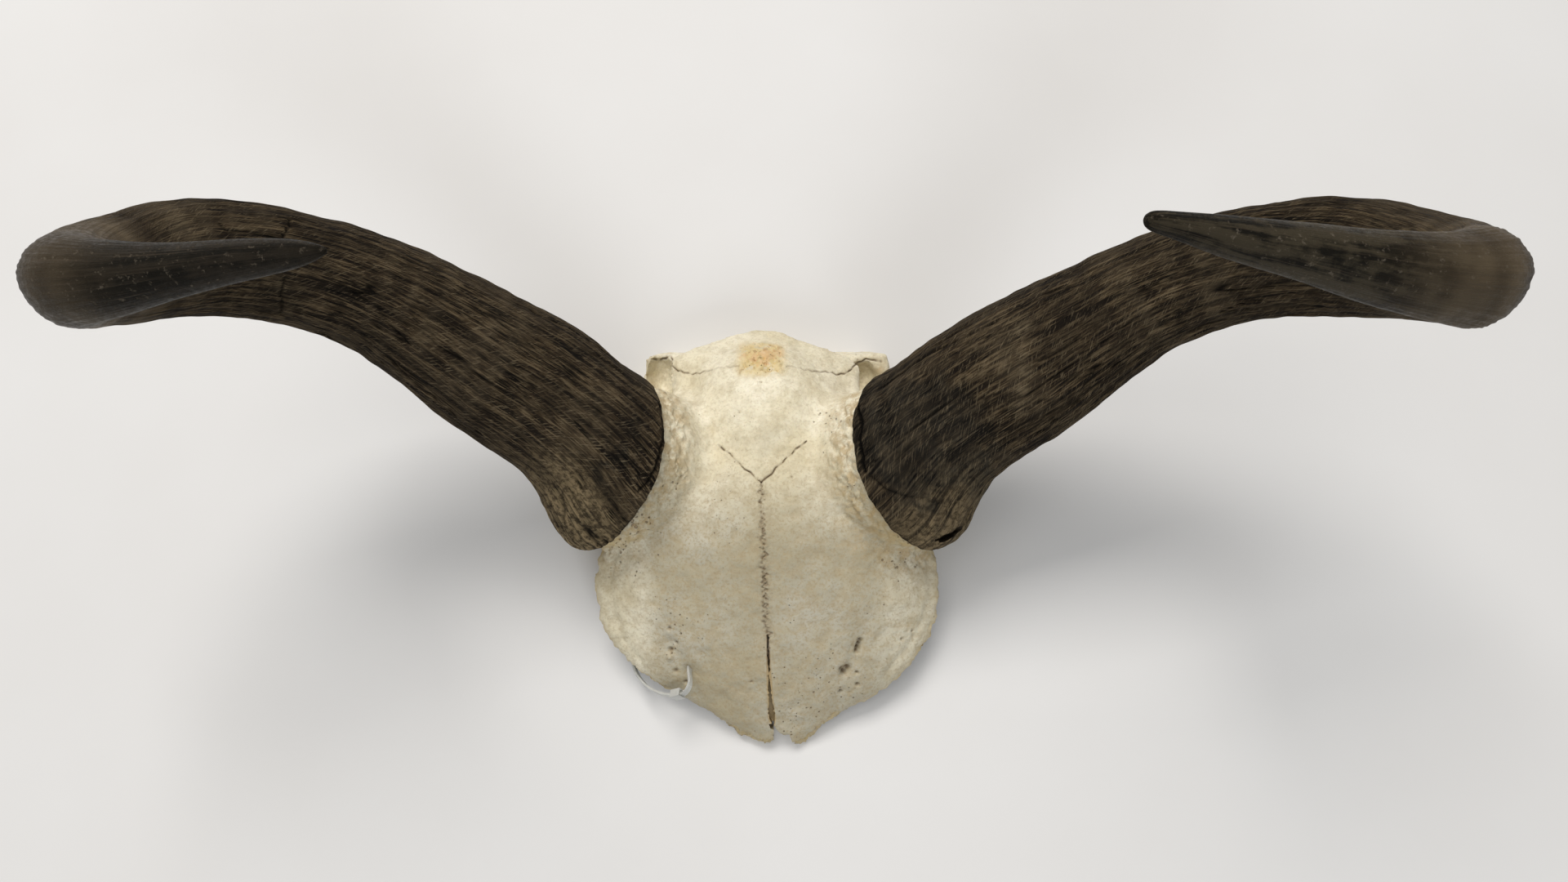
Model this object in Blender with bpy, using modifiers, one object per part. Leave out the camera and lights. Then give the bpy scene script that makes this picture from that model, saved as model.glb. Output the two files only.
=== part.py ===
"""Skull plate of a young spiral-horned antelope with both horns and a nylon cable tie.

The top of the skull was sawn off below the orbital rims and through the braincase, and it lies
on that flat cut. Shapes are given in the forehead's own frame, in millimetres: X to the animal's
left, Y towards the nape, Z out of the forehead, with the origin on the midline between the
orbits. An empty tips that frame forward, so that the saw cut is level at z = 0.
"""

import math

import bmesh
import bpy
import numpy as np
from mathutils import Matrix, Vector

MM = 0.001
GAP = 0.3
SHARP_ANGLE = math.radians(40)

# How the plate lies: the forehead slopes down to the nose, and its origin is above the floor.
FOREHEAD_SLOPE = math.radians(14)
ORIGIN_HEIGHT = 37.0
SHIFT = (-3.9, -30.7)

# In front of the horns the midline leans a little to the animal's left.
LEAN = math.radians(1.8)
LEAN_START = 45.0

# Outline of the cap: distance along the midline, then its right and left half widths.
OUTLINE = (
    (-69, 15, 17), (-62, 19, 22), (-54, 28, 31), (-47, 42, 44), (-34, 60, 59.5),
    (-20, 70.5, 69), (-4, 73.5, 72), (10, 71.5, 70.5), (26, 64, 63), (42, 55, 54), (60, 46, 46),
    (78, 41, 41), (90, 43, 41), (96, 42, 38), (100, 33, 26), (104, 21, 15), (108, 9, 7),
)
# Height of the midline, and how far the side edges lie below it.
MIDLINE = ((-69, -17), (-50, -9), (-30, -3), (0, 2), (30, 4), (45, 1), (60, -5), (75, -13),
           (90, -24), (108, -38))
SIDE_DROP = ((-69, 4), (-45, 9), (-20, 15), (0, 17), (26, 19), (50, 22), (78, 14), (90, 8),
             (108, 2))
DROP_POWER = 2.4
CAP_THICKNESS = 6.5
RIM_THINNING = 0.35
CAP_ROWS = 48
CAP_COLUMNS = 28

# Rounded masses below the cap, each a centre and three half sizes: the braincase, the bone
# between the orbits, and the root of each zygomatic arch beside the braincase.
BRAINCASE = ((0, 56, -40), (42, 47, 38))
BETWEEN_ORBITS = ((1, -24, -36), (23, 50, 33))
ARCH_ROOT = ((42, 81, -60), (16, 17, 20))
# Hollows that the saw opened: the braincase and the nasal chamber.
BRAIN_HOLLOW = ((0, 54, -46), (35, 37, 38))
NASAL_HOLLOW = ((2, -28, -44), (15, 44, 32))

# Stub of the bar behind each orbit, and the wall of the nape.
BAR_TOP = (62, 13, -14)
BAR_FOOT = (57, 22, -56)
BAR_RADII = (8, 6)
BAR_SIDES = 16
NAPE_TOP = (86, -43)
NAPE_FOOT = (89, -72)
NAPE_HALF_WIDTHS = (55, 46)
NAPE_THICKNESS = 12.0

# Bony core on which each horn sits: its rim plane, long and short half sizes, and its root.
SEAT_CENTRE = (60, 51, -4)
SEAT_NORMAL = (0.67, 0.23, 0.70)
SEAT_KEEL_SIDE = (0.32, -0.95, 0.0)
SEAT_LONG = 34.0
SEAT_SHORT = 26.5
CORE_DEPTH = 27.0
CORE_RISE = 4.0
CORE_SIDES = 32

# Smoothing of the fused bone, in mm and passes, and the share of its faces that stay.
BONE_GRAIN = 1.8
BONE_SMOOTHING = 14
BONE_FACES = 0.06
# Facets round the masses that are fused, and round the hollows that are cut.
MASS_SEGMENTS = 48
HOLLOW_SEGMENTS = 30
# Blocks that remove what is below the saw cut, and what is above a horn's seat.
SAW_BLOCK = ((-150, -150, -150), (150, 250, 0))
SEAT_BLOCK = ((-60, -60, -GAP), (60, 60, 40))

# Notch between the two nasal prongs: its mouth's two corners and its inner end.
NOTCH = ((-1.5, -84), (14, -84), (-0.5, -56.5))
NOTCH_DEPTH = 60.0
NOTCH_MIDDLE = -20.0
# Hole that the cable tie passes through.
TIE_HOLE_RADIUS = 2.2
TIE_HOLE_LENGTH = 24.0
TIE_HOLE_SIDES = 16

# Both horns share the arm: centre, reach of the keel side, reach of the back, and thickness.
ARM = (
    (*SEAT_CENTRE, 38, 37, 64),
    (65, 57, 0.5, 39, 34, 60),
    (71, 64, 5, 35, 31, 56),
    (76.5, 69.5, 8, 32, 30, 53),
    (85, 76.5, 12, 30.5, 30, 50),
    (99.5, 86.5, 20, 29, 28.5, 48),
    (120, 100, 31, 25.5, 25, 45),
    (140, 112, 42, 22, 22, 42),
    (160.5, 119.5, 54, 20.5, 20.5, 40),
    (180, 122, 68, 20, 20, 39),
)
# The horns' roots are set over by this much, less and less over the first stations.
SET_OVER = -2.5
SET_OVER_STATIONS = 7
# Past the arm each horn hooks forward and in on its own line. Side -1 is the animal's right.
HOOKS = {
    -1: (
        (195, 119.5, 84, 19.2, 19.2, 37),
        (202, 114.5, 98, 17.8, 17.2, 34),
        (203.5, 110.5, 112, 16.4, 15.6, 31.5),
        (201, 107, 125, 14.8, 14.4, 29.5),
        (194, 105, 136, 13.2, 13.2, 27.5),
        (180, 104.5, 143, 11, 11, 23),
        (159, 106, 149, 7.6, 7.6, 16),
        (135, 108.5, 154, 5.3, 5.3, 11.5),
        (121, 109.5, 156.5, 3.6, 3.6, 7.5),
        (113.5, 110, 158, 1.2, 1.2, 2.6),
    ),
    1: (
        (198, 120, 84, 19.5, 19.5, 38),
        (206, 116, 98, 18, 17.6, 35.5),
        (210.5, 112, 111, 16.6, 16, 33),
        (211.5, 108.5, 122, 15.4, 15, 31),
        (208, 106.5, 131, 15, 15, 30),
        (196, 105.5, 138, 13.2, 13.2, 26.5),
        (172, 107, 146, 10.6, 10.6, 21.5),
        (147, 110.5, 153, 7.8, 7.8, 16),
        (123, 114, 158, 5.5, 5.5, 11),
        (108, 116.3, 162, 3.3, 3.3, 7),
        (101, 117.2, 163.5, 2.6, 2.6, 5.5),
    ),
}
SEAT_BLEND = 45.0
KEEL_TAPER = 0.14
HORN_SIDES = 28
HORN_STEP = 7.0
LEAST_STEPS = 4
TANGENT_STEP = 0.004
LENGTHS = (("base", 0.0, 0.36), ("bend", 0.36, 0.72), ("tip", 0.72, 1.0))

# Nylon cable tie: the middle of its strap, from the hole over the bone and round under the rim.
TIE_ROUTE = (
    (-31.3, -35.4, -6), (-30.8, -39.2, -3), (-32.8, -43.4, -5), (-38, -45.4, -9),
    (-45, -45.4, -14), (-51.5, -42.5, -19), (-56, -36, -23.5), (-54.5, -29.5, -27),
    (-47, -26, -27), (-37.5, -28.5, -23), (-32.3, -33, -15),
)
TIE_WIDTH = 2.5
TIE_THICKNESS = 1.2
TIE_STEPS = 44
TIE_HEAD = (5.2, 4.4, 3.4)
# The head's place on the route: after this point, by this share of the way to the next.
TIE_HEAD_AFTER = 2
TIE_HEAD_SHARE = 0.65

BONE = ("bone", (0.78, 0.71, 0.56, 1), 0.6)
HORN = ("horn_sheath", (0.09, 0.07, 0.05, 1), 0.55)
NYLON = ("clear_nylon", (0.82, 0.84, 0.82, 1), 0.3)


def clear_scene():
    for old in list(bpy.data.objects):
        bpy.data.objects.remove(old)


def material(look):
    name, colour, roughness = look
    made = bpy.data.materials.get(name)
    if made is None:
        made = bpy.data.materials.new(name)
        made.use_nodes = True
        shader = made.node_tree.nodes["Principled BSDF"]
        shader.inputs["Base Color"].default_value = colour
        shader.inputs["Roughness"].default_value = roughness
        shader.inputs["Metallic"].default_value = 0.0
    return made


def unit(vector):
    vector = np.asarray(vector, float)
    return vector / np.linalg.norm(vector)


def smooth_through(points, amounts):
    """Points at amounts 0..1 along a smooth curve, spaced by the distance between its points."""
    points = np.asarray(points, float)
    steps = np.linalg.norm(np.diff(points[:, :3], axis=0), axis=1)
    at = np.concatenate([[0], np.cumsum(steps)]) / steps.sum()
    slopes = np.gradient(points, at, axis=0)
    result = []
    for amount in amounts:
        i = int(min(max(np.searchsorted(at, amount) - 1, 0), len(at) - 2))
        span = at[i + 1] - at[i]
        t = (amount - at[i]) / span
        result.append(
            (2 * t**3 - 3 * t**2 + 1) * points[i]
            + (t**3 - 2 * t**2 + t) * span * slopes[i]
            + (-2 * t**3 + 3 * t**2) * points[i + 1]
            + (t**3 - t**2) * span * slopes[i + 1]
        )
    return np.array(result)


def read_curve(rows, y, column=1):
    """Value at distance y along the midline, read smoothly from a short table."""
    rows = np.asarray(rows, float)
    slopes = np.gradient(rows[:, column], rows[:, 0])
    i = int(min(max(np.searchsorted(rows[:, 0], y) - 1, 0), len(rows) - 2))
    span = rows[i + 1, 0] - rows[i, 0]
    t = min(max((y - rows[i, 0]) / span, 0.0), 1.0)
    return (
        (2 * t**3 - 3 * t**2 + 1) * rows[i, column]
        + (t**3 - 2 * t**2 + t) * span * slopes[i]
        + (-2 * t**3 + 3 * t**2) * rows[i + 1, column]
        + (t**3 - t**2) * span * slopes[i + 1]
    )


def leaned(point):
    """A point of the plate, moved across with the leaning midline."""
    x, y, z = point
    return (x + max(LEAN_START - y, 0.0) * math.tan(LEAN), y, z)


def new_object(name, bm, look, collection, frame):
    """An object from a bmesh in millimetres, in the forehead's frame."""
    bmesh.ops.recalc_face_normals(bm, faces=bm.faces)
    bmesh.ops.scale(bm, vec=(MM, MM, MM), verts=bm.verts)
    mesh = bpy.data.meshes.new(name)
    bm.to_mesh(mesh)
    bm.free()
    mesh.shade_smooth()
    mesh.set_sharp_from_angle(angle=SHARP_ANGLE)
    made = bpy.data.objects.new(name, mesh)
    made.data.materials.append(material(look))
    made.parent = frame
    collection.objects.link(made)
    return made


def loft(bm, rings, closed=False):
    """Joins rings of equal count into a tube, with flat ends unless it closes on itself."""
    rows = [[bm.verts.new(point) for point in ring] for ring in rings]
    pairs = list(zip(rows, rows[1:]))
    if closed:
        pairs.append((rows[-1], rows[0]))
    for low, high in pairs:
        for i in range(len(low)):
            j = (i + 1) % len(low)
            bm.faces.new((low[i], low[j], high[j], high[i]))
    if not closed:
        bm.faces.new(rows[0][::-1])
        bm.faces.new(rows[-1])


def ball(bm, centre, halves, segments=MASS_SEGMENTS):
    """An ellipsoid from a sphere primitive."""
    made = bmesh.ops.create_uvsphere(
        bm, u_segments=segments, v_segments=segments * 2 // 3, radius=1.0
    )
    for vert in made["verts"]:
        vert.co = Vector([c + h * v for c, h, v in zip(centre, halves, vert.co)])


def cap_height(x, y):
    """Height of the bone's upper surface over a point of the symmetric plate."""
    side = 1 if x < 0 else 2
    across = min(abs(x) / max(read_curve(OUTLINE, y, side), 1.0), 1.0)
    return read_curve(MIDLINE, y) - read_curve(SIDE_DROP, y) * across**DROP_POWER


def cap_body(bm):
    """Forehead, orbital rims and top of the braincase, as one domed sheet with thickness."""
    shell = bmesh.new()
    rows = []
    for i in range(CAP_ROWS + 1):
        y = OUTLINE[0][0] + (OUTLINE[-1][0] - OUTLINE[0][0]) * i / CAP_ROWS
        row = []
        for j in range(CAP_COLUMNS + 1):
            share = math.sin(math.pi / 2 * (2 * j / CAP_COLUMNS - 1))
            half = read_curve(OUTLINE, y, 1 if share < 0 else 2)
            row.append(shell.verts.new((share * half, y, cap_height(share * half, y))))
        rows.append(row)
    for low, high in zip(rows, rows[1:]):
        for j in range(CAP_COLUMNS):
            shell.faces.new((low[j], low[j + 1], high[j + 1], high[j]))
    top = list(shell.faces)
    made = bmesh.ops.extrude_face_region(shell, geom=top)
    for item in made["geom"]:
        if isinstance(item, bmesh.types.BMVert):
            half = read_curve(OUTLINE, item.co.y, 1 if item.co.x < 0 else 2)
            item.co.z -= CAP_THICKNESS * (1 - RIM_THINNING * (item.co.x / half) ** 2)
    bmesh.ops.recalc_face_normals(shell, faces=shell.faces)
    mesh = bpy.data.meshes.new("cap")
    shell.to_mesh(mesh)
    shell.free()
    bm.from_mesh(mesh)
    bpy.data.meshes.remove(mesh)


def bar_body(bm, side):
    """Stub of the bar behind the orbit, down to the saw cut."""
    top = np.array(BAR_TOP, float) * (side, 1, 1)
    foot = np.array(BAR_FOOT, float) * (side, 1, 1)
    rings = []
    for centre, radius in ((top, BAR_RADII[0]), (foot, BAR_RADII[1])):
        angles = [2 * math.pi * i / BAR_SIDES for i in range(BAR_SIDES)]
        rings.append([centre + (radius * math.cos(a), radius * math.sin(a), 0) for a in angles])
    loft(bm, rings)


def nape_body(bm):
    """Wall of the nape with a crest that reaches out to a corner on each side."""
    rings = []
    for (y, z), half in zip((NAPE_TOP, NAPE_FOOT), NAPE_HALF_WIDTHS):
        rings.append([(-half, y, z), (half, y, z), (half, y + NAPE_THICKNESS, z),
                      (-half, y + NAPE_THICKNESS, z)])
    loft(bm, rings)


def seat_axes(side):
    normal = unit(np.array(SEAT_NORMAL) * (side, 1, 1))
    keel = np.array(SEAT_KEEL_SIDE) * (side, 1, 1)
    keel = unit(keel - normal * keel.dot(normal))
    centre = np.array(SEAT_CENTRE, float) * (side, 1, 1) + (SET_OVER, 0, 0)
    return centre, normal, keel, np.cross(normal, keel)


def core_body(bm, side):
    """Bony core below a horn, from inside the skull to just over the seat's plane."""
    centre, normal, keel, across = seat_axes(side)
    rings = []
    for depth in (-CORE_DEPTH, CORE_RISE):
        ring = []
        for i in range(CORE_SIDES):
            angle = 2 * math.pi * i / CORE_SIDES
            ring.append(
                centre + normal * depth
                + keel * SEAT_LONG * math.cos(angle)
                + across * SEAT_SHORT * math.sin(angle)
            )
        rings.append(ring)
    loft(bm, rings)


def apply_modifiers(made):
    bpy.context.view_layer.update()
    graph = bpy.context.evaluated_depsgraph_get()
    mesh = bpy.data.meshes.new_from_object(made.evaluated_get(graph))
    made.modifiers.clear()
    old = made.data
    made.data = mesh
    bpy.data.meshes.remove(old)


def cut(made, cutters):
    for cutter in cutters:
        modifier = made.modifiers.new("cut by " + cutter.name, "BOOLEAN")
        modifier.operation = "DIFFERENCE"
        modifier.object = cutter
    apply_modifiers(made)


def cutter(name, bm, collection, frame):
    made = new_object(name, bm, BONE, collection, frame)
    made.hide_render = True
    made.display_type = "WIRE"
    return made


def box(bm, low, high):
    made = bmesh.ops.create_cube(bm, size=1.0)
    for vert in made["verts"]:
        vert.co = Vector([lo + (hi - lo) * (v + 0.5) for lo, hi, v in zip(low, high, vert.co)])


def build_skull(parts, helpers, frame):
    bm = bmesh.new()
    cap_body(bm)
    ball(bm, *BRAINCASE)
    ball(bm, *BETWEEN_ORBITS)
    nape_body(bm)
    for side in (-1, 1):
        bar_body(bm, side)
        ball(bm, tuple(np.array(ARCH_ROOT[0]) * (side, 1, 1)), ARCH_ROOT[1])
    for vert in bm.verts:
        vert.co = Vector(leaned(vert.co))
    for side in (-1, 1):
        core_body(bm, side)
    skull = new_object("skull_plate", bm, BONE, parts, frame)

    fuse = skull.modifiers.new("fuse", "REMESH")
    fuse.mode = "VOXEL"
    fuse.voxel_size = BONE_GRAIN * MM
    soften = skull.modifiers.new("soften", "SMOOTH")
    soften.factor = 0.5
    soften.iterations = BONE_SMOOTHING
    thin = skull.modifiers.new("thin", "DECIMATE")
    thin.ratio = BONE_FACES
    apply_modifiers(skull)

    cutters = []
    bm = bmesh.new()
    box(bm, *SAW_BLOCK)
    saw = cutter("saw_cut", bm, helpers, None)
    cutters.append(saw)
    for name, (centre, halves) in (("brain_hollow", BRAIN_HOLLOW), ("nasal_hollow", NASAL_HOLLOW)):
        bm = bmesh.new()
        ball(bm, leaned(centre), halves, segments=HOLLOW_SEGMENTS)
        cutters.append(cutter(name, bm, helpers, frame))
    for side, name in ((-1, "right_seat"), (1, "left_seat")):
        centre, normal, keel, across = seat_axes(side)
        bm = bmesh.new()
        box(bm, *SEAT_BLOCK)
        axes = Matrix((Vector(keel), Vector(across), Vector(normal))).transposed().to_4x4()
        axes.translation = Vector(centre)
        bmesh.ops.transform(bm, matrix=axes, verts=bm.verts)
        cutters.append(cutter(name, bm, helpers, frame))
    bm = bmesh.new()
    loft(bm, [
        [leaned((x, y, NOTCH_MIDDLE + end * NOTCH_DEPTH / 2)) for x, y in NOTCH] for end in (-1, 1)
    ])
    cutters.append(cutter("nasal_notch", bm, helpers, frame))
    bm = bmesh.new()
    bmesh.ops.create_cone(
        bm, cap_ends=True, segments=TIE_HOLE_SIDES, radius1=TIE_HOLE_RADIUS,
        radius2=TIE_HOLE_RADIUS, depth=TIE_HOLE_LENGTH,
    )
    above, below = Vector(TIE_ROUTE[0]), Vector(TIE_ROUTE[-1])
    turn = (above - below).to_track_quat("Z", "X").to_matrix().to_4x4()
    turn.translation = (above + below) / 2
    bmesh.ops.transform(bm, matrix=turn, verts=bm.verts)
    cutters.append(cutter("tie_hole", bm, helpers, frame))
    cut(skull, cutters)
    return skull


def horn_rings(side):
    """One horn's length, and a function that gives its cross-section at an amount 0..1 of it."""
    stations = np.array(ARM + HOOKS[side], float) * (side, 1, 1, 1, 1, 1)
    for i in range(SET_OVER_STATIONS):
        stations[i, 0] += SET_OVER * (1 - i / SET_OVER_STATIONS)
    total = np.linalg.norm(np.diff(stations[:, :3], axis=0), axis=1).sum()
    seat_centre, seat_normal, seat_keel, seat_across = seat_axes(side)

    def section(amount):
        before, here, after = smooth_through(
            stations, (max(amount - TANGENT_STEP, 0), amount, min(amount + TANGENT_STEP, 1))
        )
        tangent = unit(after[:3] - before[:3])
        blend = max(0.0, 1 - amount * total / SEAT_BLEND)
        normal = unit(tangent * (1 - blend) + seat_normal * blend)
        keel = np.array((0, -1, 0)) * (1 - blend) + seat_keel * blend
        keel = unit(keel - normal * keel.dot(normal))
        return here, normal, keel, np.cross(normal, keel)

    return section, total


def horn_ring(section, amount, offset=0.0):
    (x, y, z, keel_reach, back_reach, thickness), normal, keel, across = section(amount)
    centre = np.array((x, y, z)) + normal * offset
    ring = []
    for i in range(HORN_SIDES):
        angle = 2 * math.pi * i / HORN_SIDES
        along = math.cos(angle)
        reach = keel_reach if along > 0 else back_reach
        narrowing = 1 - KEEL_TAPER * max(along, 0)
        ring.append(
            centre + keel * reach * along
            + across * thickness / 2 * narrowing * math.sin(angle)
        )
    return ring


def build_horn(side, name, parts, frame):
    section, total = horn_rings(side)
    for length, start, end in LENGTHS:
        count = max(int(round((end - start) * total / HORN_STEP)), LEAST_STEPS)
        rings = []
        for i in range(count + 1):
            offset = 0.0
            if i == 0 and start > 0:
                offset = GAP / 2
            if i == count and end < 1:
                offset = -GAP / 2
            rings.append(horn_ring(section, start + (end - start) * i / count, offset))
        bm = bmesh.new()
        loft(bm, rings)
        new_object(f"{name}_{length}", bm, HORN, parts, frame)


def build_tie(parts, helpers, frame):
    """Flat strap in a closed loop, with its locking head."""
    route = np.array(TIE_ROUTE, float)
    looped = np.concatenate([route[-2:], route, route[:3]])
    steps = np.linalg.norm(np.diff(looped, axis=0), axis=1)
    at = np.concatenate([[0], np.cumsum(steps)]) / steps.sum()
    start, end = at[2], at[2 + len(route)]
    centres = smooth_through(looped, [start + (end - start) * i / TIE_STEPS for i in range(TIE_STEPS)])
    middle = centres.mean(axis=0)
    _, _, axes = np.linalg.svd(centres - middle)
    axle = axes[2] * (1 if axes[2][2] > 0 else -1)
    rings = []
    for i, centre in enumerate(centres):
        tangent = unit(centres[(i + 1) % TIE_STEPS] - centres[i - 1])
        wide = unit(axle - tangent * axle.dot(tangent))
        thick = np.cross(tangent, wide)
        rings.append([
            centre + wide * TIE_WIDTH / 2 * a + thick * TIE_THICKNESS / 2 * b
            for a, b in ((-1, -1), (1, -1), (1, 1), (-1, 1))
        ])
    bm = bmesh.new()
    loft(bm, rings, closed=True)
    tie = new_object("cable_tie", bm, NYLON, parts, frame)

    before, after = route[TIE_HEAD_AFTER], route[TIE_HEAD_AFTER + 1]
    at_head = before + (after - before) * TIE_HEAD_SHARE
    tangent = unit(after - before)
    wide = unit(axle - tangent * axle.dot(tangent))
    bm = bmesh.new()
    box(bm, *[[s * size / 2 for size in TIE_HEAD] for s in (-1, 1)])
    axes = Matrix((Vector(tangent), Vector(wide), Vector(np.cross(tangent, wide))))
    axes = axes.transposed().to_4x4()
    axes.translation = Vector(at_head)
    bmesh.ops.transform(bm, matrix=axes, verts=bm.verts)
    head = cutter("tie_head_block", bm, helpers, frame)
    join = tie.modifiers.new("head", "BOOLEAN")
    join.operation = "UNION"
    join.object = head
    apply_modifiers(tie)


def main():
    clear_scene()
    parts = bpy.data.collections.new("horned_skull_plate")
    helpers = bpy.data.collections.new("cutters")
    for collection in (parts, helpers):
        bpy.context.scene.collection.children.link(collection)
    frame = bpy.data.objects.new("forehead_frame", None)
    frame.rotation_euler.x = FOREHEAD_SLOPE
    frame.location = (SHIFT[0] * MM, SHIFT[1] * MM, ORIGIN_HEIGHT * MM)
    parts.objects.link(frame)
    build_skull(parts, helpers, frame)
    build_horn(-1, "right_horn", parts, frame)
    build_horn(1, "left_horn", parts, frame)
    build_tie(parts, helpers, frame)


main()
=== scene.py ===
"""Looks of the horned skull plate: the bone, both horn sheaths, the cable tie and the studio."""
import math

import bmesh
import bpy
import numpy as np
from mathutils import Matrix, Vector, noise


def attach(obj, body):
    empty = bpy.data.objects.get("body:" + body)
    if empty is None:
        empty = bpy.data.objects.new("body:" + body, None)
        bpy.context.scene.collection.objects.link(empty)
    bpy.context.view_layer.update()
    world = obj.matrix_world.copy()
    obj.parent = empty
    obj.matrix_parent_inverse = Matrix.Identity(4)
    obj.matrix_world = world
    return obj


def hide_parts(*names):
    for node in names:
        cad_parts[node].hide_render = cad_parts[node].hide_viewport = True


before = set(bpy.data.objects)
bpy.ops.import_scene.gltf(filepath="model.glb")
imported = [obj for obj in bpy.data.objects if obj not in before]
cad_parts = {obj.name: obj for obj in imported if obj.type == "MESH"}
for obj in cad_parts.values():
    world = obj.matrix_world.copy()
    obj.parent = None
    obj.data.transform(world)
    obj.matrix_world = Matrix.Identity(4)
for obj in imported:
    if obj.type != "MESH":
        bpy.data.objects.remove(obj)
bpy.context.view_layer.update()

MM = 0.001

# The forehead's frame, as in the solids: millimetres, X to the animal's left, Y to the nape.
SLOPE = math.radians(14)
ORIGIN = Vector((-3.9, -30.7, 37.0)) * MM
FOREHEAD = Matrix.Translation(ORIGIN) @ Matrix.Rotation(SLOPE, 4, "X") @ Matrix.Scale(MM, 4)

# Camera of the photo, in the forehead's frame.
EYE = (7.5, 59.4, 459.0)
LENS = 26.06
FILM_WIDTH = 36.0
PICTURE = (1920, 1080)

# The horn's seat on the bone.
SEAT_CENTRE = (60, 51, -4)
SEAT_NORMAL = (0.67, 0.23, 0.70)
SEAT_KEEL_SIDE = (0.32, -0.95, 0.0)
SEAT_LONG = 37.0
SEAT_SHORT = 31.0
SET_OVER = -2.5
SET_OVER_STATIONS = 7

# Stations along a horn: centre, reach of the keel side, reach of the back, and thickness.
ARM = (
    (*SEAT_CENTRE, 38, 37, 64),
    (65, 57, 0.5, 39.5, 34, 60),
    (71, 64, 5, 33, 31, 56),
    (76.5, 69.5, 8, 29.5, 30, 53),
    (85, 76.5, 12, 29, 30, 50),
    (99.5, 86.5, 20, 29, 28.5, 48),
    (120, 100, 31, 25.5, 25, 45),
    (140, 112, 42, 22, 22, 42),
    (160.5, 119.5, 54, 20.5, 20.5, 40),
    (180, 122, 68, 20, 20, 39),
)
HOOKS = {
    -1: (
        (195, 119.5, 84, 19.2, 19.2, 37),
        (202, 114.5, 98, 17.8, 17.2, 34),
        (203.5, 110.5, 112, 16.4, 15.6, 31.5),
        (201, 107, 125, 14.8, 14.4, 29.5),
        (194, 105, 136, 13.2, 13.2, 27.5),
        (180, 104.5, 143, 11, 11, 23),
        (159, 106, 149, 7.6, 7.6, 16),
        (135, 108.5, 154, 5.3, 5.3, 11.5),
        (121, 109.5, 156.5, 3.6, 3.6, 7.5),
        (113.5, 110, 158, 1.2, 1.2, 2.6),
    ),
    1: (
        (198, 120, 84, 19.5, 19.5, 38),
        (206, 116, 98, 18, 17.6, 35.5),
        (210.5, 112, 111, 16.6, 16, 33),
        (211.5, 108.5, 122, 15.4, 15, 31),
        (208, 106.5, 131, 15, 15, 30),
        (196, 105.5, 138, 13.2, 13.2, 26.5),
        (172, 107, 146, 10.6, 10.6, 21.5),
        (147, 110.5, 153, 7.8, 7.8, 16),
        (123, 114, 158, 5.5, 5.5, 11),
        (108, 116.3, 162, 3.3, 3.3, 7),
        (101, 117.2, 163.5, 2.6, 2.6, 5.5),
    ),
}
SEAT_BLEND = 45.0
KEEL_TAPER = 0.14
SPOKES = 28
HORN_DIVISIONS = 3
HORN_STEP = 8.0
# Rings that shape the sheath's open end: rise along the axis, and share of the full section.
MOUTH = ((5.0, 0.80), (0.8, 0.86), (-0.1, 0.91), (-0.2, 0.985), (0.7, 1.0))
GRAIN_RADIUS = 22.0

# Lines on the bone, in the forehead's frame.
CORONAL = (
    ((-1.7, 42.9), (-6.5, 46.5), (-12, 51.8), (-19.3, 57.7)),
    ((-1.7, 42.9), (2.5, 46.8), (8.6, 52.6), (16.8, 59.4)),
)
MIDLINE = ((-1.7, 42.9), (-1.3, 34), (-1, 26.7), (-0.4, 6.9), (0.2, -8.2), (0.9, -20.7))
LAMBDOID = (
    ((-51.5, 95.8), (-48, 95.4), (-45, 96.4), (-42.6, 96.7), (-41.2, 92.1), (-37.4, 89.6),
     (-33.1, 88.4), (-27.1, 88.7), (-21.2, 89.6), (-11.4, 90.5)),
    ((9.3, 90.8), (15.7, 89.7), (23.9, 88.9), (29.7, 88.3), (34.7, 88.9), (36.6, 90.4),
     (40.4, 94), (44.6, 95.6), (47.8, 94.9), (50.7, 94.4)),
)
# The open crack down the middle: place and width.
CRACK = ((0.9, -19.5, 0.1), (1.1, -27, 0.6), (1.4, -36, 0.9), (1.9, -47, 1.4),
         (2.5, -55, 2.1), (2.7, -57, 1.6), (2.9, -59.2, 0.6))
# The ragged nasal end: the notch between the prongs, and where each prong breaks off.
NOTCH = (
    (2.9, -80), (2.9, -66), (3.1, -61), (1.7, -60.2), (0.9, -58), (3, -57.6), (4.3, -60.4),
    (5.8, -62.1), (7.6, -63), (9.9, -62.8), (10.9, -65.4), (12, -68), (13, -80),
)
PRONG_ENDS = (
    (-24, -80), (-24, -58), (-17, -60.4), (-13.9, -62), (-12.6, -64.6), (-10.7, -65.7),
    (-9.5, -64.4), (-7.4, -65.7), (-5.1, -66.9), (-0.6, -68.2), (1.6, -67.7), (3, -74),
    (11.6, -74), (12.4, -68.5), (14.2, -69), (15.4, -68.2), (16.8, -68), (18.3, -66),
    (21.4, -63.4), (23.6, -60.4), (30, -56), (30, -80),
)
# Blocks that cut the crack and the ragged end: top, bottom, and how the crack's bottom slopes.
CUT_TOP = 8
CRACK_BOTTOM = 0.3
CRACK_FALL = 0.29
NOTCH_BOTTOM = -50
# Hollows of the temples, seen behind the horns beside the crest: centre and half sizes.
TEMPLES = (((-46.8, 86, -43), (6.4, 12, 9)), ((42.6, 84.6, -43), (7.2, 10.5, 9)))
# Painted shade in those hollows: brown spots in the picture's pixels, with their radius.
TEMPLE_SHADE = (
    (788, 441, 6), (792, 456, 7), (798, 472, 7), (803, 484, 6), (1078, 452, 7), (1070, 468, 6),
)
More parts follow.
